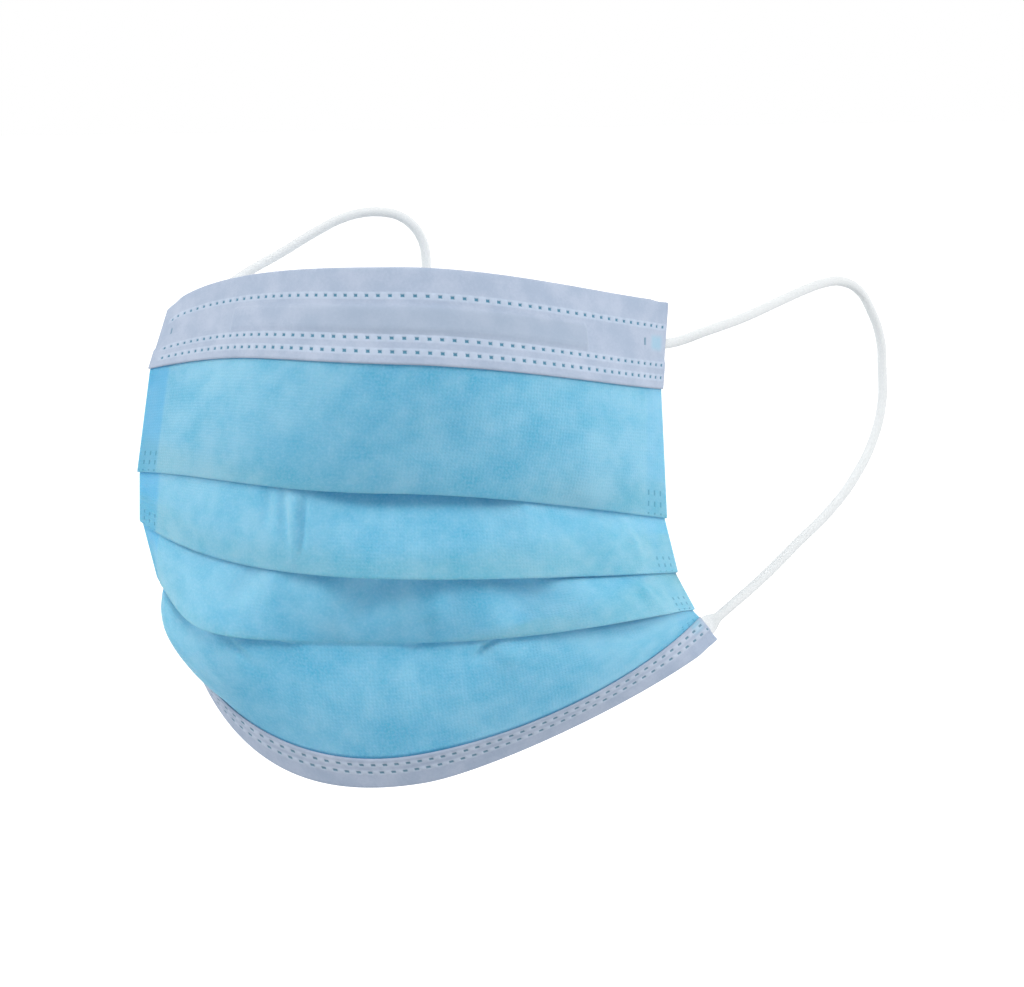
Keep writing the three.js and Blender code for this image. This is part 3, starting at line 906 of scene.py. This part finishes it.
top_white = strip_finish("white_top_strip", TOP_HEIGHT, TOP_DOTS, TOP_DOT_BLUE, TOP_RIM, [
    {"mask": wire_shadow, "share": 0.45, "colour": WIRE_SHADE},
    {"mask": top_weld, "share": 0.6, "colour": PRESSED_THROUGH},
    {"mask": top_tick, "share": 0.8, "colour": TICK_BLUE},
])
top_strip = cloth_piece("top_strip", STRIP_COLUMNS, TOP_ROWS, top_strip_point, [top_white, top_white],
                        STRIP_THICKNESS)
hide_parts("top_binding")


# The nose wire is a flat strip that bends by hand and stays bent, sealed in the top strip. It stays as it is.
WIRE_DARK = (0.50, 0.52, 0.54, 1)
WIRE_LIGHT = (0.66, 0.68, 0.70, 1)

wire = Finish("wire_metal", roughness=0.42)
wire.shader.inputs["Metallic"].default_value = 1.0
coords = wire.node("ShaderNodeTexCoord", {}, {}, 3)
drawn = wire.noise(wire.stretched(coords, (60, 60, 2600)), 1.0, 3.0)
wire.feed(wire.shader.inputs["Base Color"], wire.mix(drawn, WIRE_DARK, WIRE_LIGHT))
wire.feed(wire.shader.inputs["Normal"], wire.bump(drawn, 0.00004, 0.5))
wire_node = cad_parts["nose_wire"]
for material_slot in wire_node.material_slots:
    material_slot.material = wire.material


# The bottom strip is a narrower ribbon of the same cloth, folded over the panel's lower edge and welded to it
# in two rows of small dots, set half a pitch apart.
BOTTOM_HEIGHT = 0.009
BOTTOM_BACK = 0.007
BOTTOM_DOTS = {"rows": (0.0072, 0.005), "shift": 0.5, "half_length": 0.00062, "half_height": 0.00032,
               "depth": 0.00020, "bar": 0.00012}
BOTTOM_DOT_BLUE = (0.16, 0.29, 0.39, 1)
BOTTOM_RIM = (0.60, 0.68, 0.80, 1)
bottom_downs = row_places(BOTTOM_HEIGHT, BOTTOM_DOTS)
BOTTOM_ROWS = len(bottom_downs) + FOLD_STEPS + BACK_STEPS


def on_bottom_panel(down):
    return smooth_step(down, BOTTOM_HEIGHT - PANEL_END - 0.001, BOTTOM_HEIGHT - PANEL_END)


def bottom_strip_point(column, row):
    across = HALF_WIDTH * (2 * column / STRIP_COLUMNS - 1)
    down, depth, flat_down = folded_strip_place(
        across, row, bottom_downs, BOTTOM_HEIGHT, BOTTOM_BACK, on_bottom_panel)
    if row < len(bottom_downs):
        depth -= dot_relief(across, down, BOTTOM_DOTS)
    return strip_point(across, down, depth, "bottom", "seam", BOTTOM_HEIGHT), (across, flat_down)


def bottom_weld(finish, side, down):
    return patch(finish, finish.absolute(side), 0.0845, 0.0020, 0.0012) * patch(
        finish, down, 0.0012, 0.0016, 0.0010)


bottom_white = strip_finish("white_bottom_strip", BOTTOM_HEIGHT, BOTTOM_DOTS, BOTTOM_DOT_BLUE, BOTTOM_RIM, [
    {"mask": bottom_weld, "share": 0.75, "colour": PRESSED_THROUGH},
])
bottom_strip = cloth_piece("bottom_strip", STRIP_COLUMNS, BOTTOM_ROWS, bottom_strip_point,
                           [bottom_white, bottom_white], STRIP_THICKNESS)
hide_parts("bottom_binding")


# The floor is a plain pale sheet, well below the mask, which is held up as it is worn. It glows white behind
# the mask and is duller in front, as a studio's lit sweep is, and so is the light that comes from all round.
# Three soft lamps stand in front: one above and, further off and stronger, one at each side.
FLOOR_HEIGHT = -0.3
FLOOR_SIZE = 20
FLOOR_IN_FRONT = (0.60, 0.61, 0.62, 1)
FLOOR_BEHIND = (0.6, 0.6, 0.6, 1)
FLOOR_GLOW = 0.8
BLACK, WHITE = (0, 0, 0, 1), (1, 1, 1, 1)

slab = bmesh.new()
bmesh.ops.create_grid(slab, x_segments=1, y_segments=1, size=FLOOR_SIZE)
bmesh.ops.translate(slab, verts=slab.verts, vec=(0, 0, FLOOR_HEIGHT))
floor_mesh = bpy.data.meshes.new("floor")
slab.to_mesh(floor_mesh)
slab.free()
floor = bpy.data.objects.new("floor", floor_mesh)
floor_finish = Finish("pale_floor", roughness=0.95)
coords = floor_finish.node("ShaderNodeTexCoord", {}, {}, 3)
behind = floor_finish.between(floor_finish.axis(coords, 1), 0.05, 0.34)
floor_finish.feed(
    floor_finish.shader.inputs["Base Color"], floor_finish.mix(behind, FLOOR_IN_FRONT, FLOOR_BEHIND))
floor_finish.feed(floor_finish.shader.inputs["Emission Color"], floor_finish.mix(behind, BLACK, WHITE))
floor_finish.shader.inputs["Emission Strength"].default_value = FLOOR_GLOW
floor_mesh.materials.append(floor_finish.material)
bpy.context.scene.collection.objects.link(floor)


LAMP_SIZE = 0.6
LAMP_AIM = Vector((0, 0, -0.06))


def lamp(name, place, power):
    light = bpy.data.lights.new(name, "AREA")
    light.shape = "DISK"
    light.size = LAMP_SIZE
    light.energy = power
    holder = bpy.data.objects.new(name, light)
    turned = (Vector(place) - LAMP_AIM).to_track_quat("Z", "Y").to_matrix().to_4x4()
    holder.matrix_world = Matrix.Translation(place) @ turned
    bpy.context.scene.collection.objects.link(holder)


lamp("lamp_above", place=(0.1, -0.85, 1.05), power=5.5)
lamp("lamp_left", place=(-1.35, -0.45, 0.7), power=9)
lamp("lamp_right", place=(1.45, -0.4, 0.7), power=9.5)

sky = bpy.data.worlds.new("studio")
sky.use_nodes = True
sky_nodes = sky.node_tree.nodes
sky_links = sky.node_tree.links
sky_place = sky_nodes.new("ShaderNodeTexCoord")
sky_apart = sky_nodes.new("ShaderNodeSeparateXYZ")
sky_range = sky_nodes.new("ShaderNodeMapRange")
sky_range.interpolation_type = "SMOOTHSTEP"
for name, value in (("From Min", -0.25), ("From Max", 0.55), ("To Min", 0.48), ("To Max", 1.0)):
    sky_range.inputs[name].default_value = value
sky_links.new(sky_place.outputs["Generated"], sky_apart.inputs[0])
sky_links.new(sky_apart.outputs["Y"], sky_range.inputs["Value"])
sky_links.new(sky_range.outputs["Result"], sky_nodes["Background"].inputs["Strength"])
sky_nodes["Background"].inputs["Color"].default_value = WHITE
bpy.context.scene.world = sky
